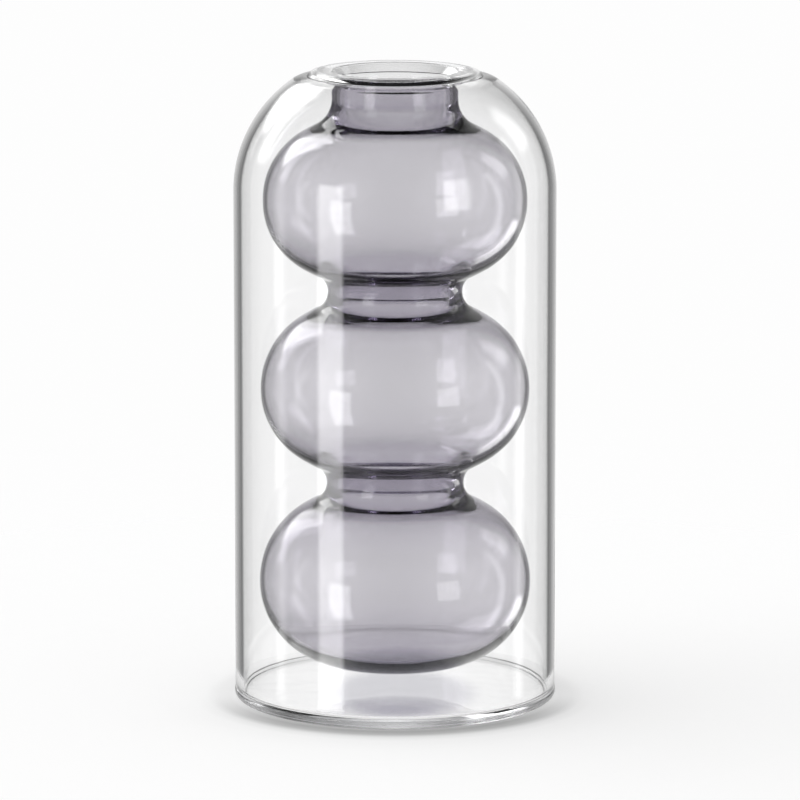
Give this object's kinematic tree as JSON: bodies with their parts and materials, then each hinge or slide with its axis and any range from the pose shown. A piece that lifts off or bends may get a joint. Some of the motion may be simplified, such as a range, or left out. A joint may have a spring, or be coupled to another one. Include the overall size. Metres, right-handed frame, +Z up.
{
  "type": "double-walled gourd vase",
  "caption": "Double-walled glass vase: a smoked gourd of stacked bulbs hangs from a rounded clear lip inside a clear domed tube that is closed by a flat glass base.",
  "frame": {"origin": "centre of the flat underside of the base, on the axis of the vase", "axes": "+Z up along the axis of revolution, out of the mouth; the vase is round, so X and Y have no preferred direction"},
  "size_m": [0.1104, 0.1104, 0.2167],
  "materials": {
    "clear_glass": "fire-polished clear borosilicate glass",
    "smoked_glass": "fire-polished smoke-grey borosilicate glass"
  },
  "bodies": {
    "root": {"outer_dome": "clear_glass", "base_plate": "clear_glass", "lip_ring": "clear_glass", "mouth_neck": "smoked_glass", "upper_bulb": "smoked_glass", "middle_bulb": "smoked_glass", "lower_bulb": "smoked_glass"}
  },
  "joints": []
}
